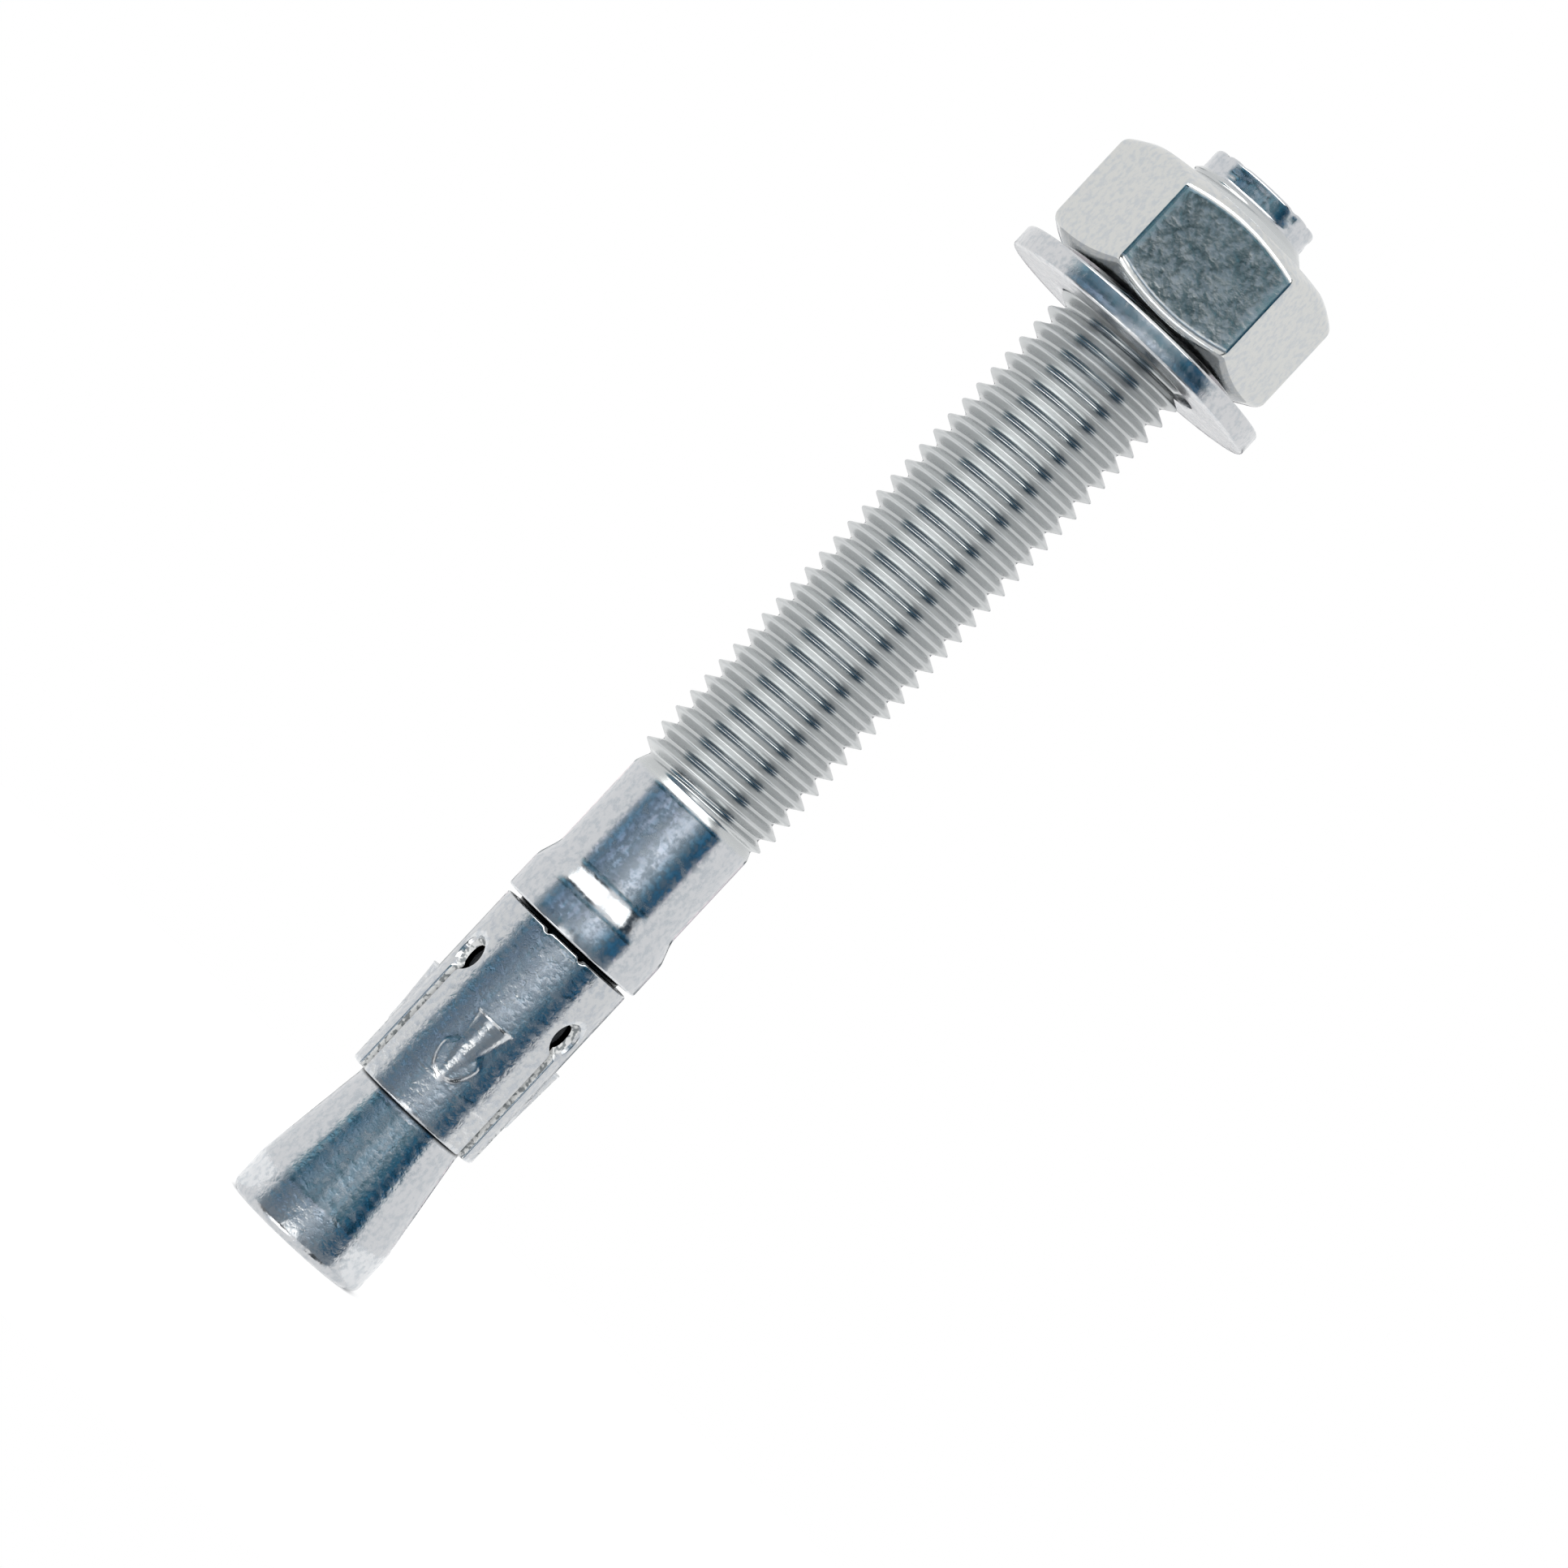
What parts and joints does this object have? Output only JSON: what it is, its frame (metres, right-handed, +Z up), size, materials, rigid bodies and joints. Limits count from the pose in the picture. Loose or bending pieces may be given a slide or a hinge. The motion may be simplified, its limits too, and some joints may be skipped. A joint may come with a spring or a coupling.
{
  "type": "wedge anchor",
  "caption": "Through-type wedge anchor: threaded stud with cone end, slotted expansion clip, flat washer and hexagon nut, for fixing to concrete.",
  "frame": {"origin": "on the ground under the middle of the standing anchor's bounding box; the bolt's axis is 0.45 mm towards -X of it, because the washer sits off centre", "axes": "+Z up, along the bolt from the cone end, which it stands on, to the nut; the clip's middle petal faces -Y, and a flat of the nut is turned 4 degrees from -Y towards +X"},
  "size_m": [0.037, 0.037, 0.17],
  "materials": {
    "stud": "bright zinc plate on rolled and turned steel, faintly blue, with dull spots",
    "clip": "bright zinc plate on rolled sheet steel, mottled",
    "washer": "bright zinc plate on punched steel",
    "nut": "bright zinc plate on forged steel, finely pitted"
  },
  "bodies": {
    "stud": {"stud": "stud"},
    "clip": {"clip": "clip"},
    "washer": {"washer": "washer"},
    "nut": {"nut": "nut"}
  },
  "joints": [
    {"name": "washer_slide", "type": "slide", "parent": "stud", "child": "washer", "axis": [0, 0, 1], "range_m": [-0.07645, 0.01895]},
    {"name": "nut_turn", "type": "hinge", "parent": "washer", "child": "nut", "pos_m": [-0.00045, 0, 0.157], "axis": [0, 0, 1], "range_deg": [-10980, 2700]},
    {"name": "clip_spin", "type": "hinge", "parent": "stud", "child": "clip", "pos_m": [-0.00045, 0, 0.0344], "axis": [0, 0, 1], "continuous": true}
  ],
  "couplings": [
    {"joint": "washer_slide", "follows": "nut_turn", "m_per_rad": 0.00039789}
  ]
}
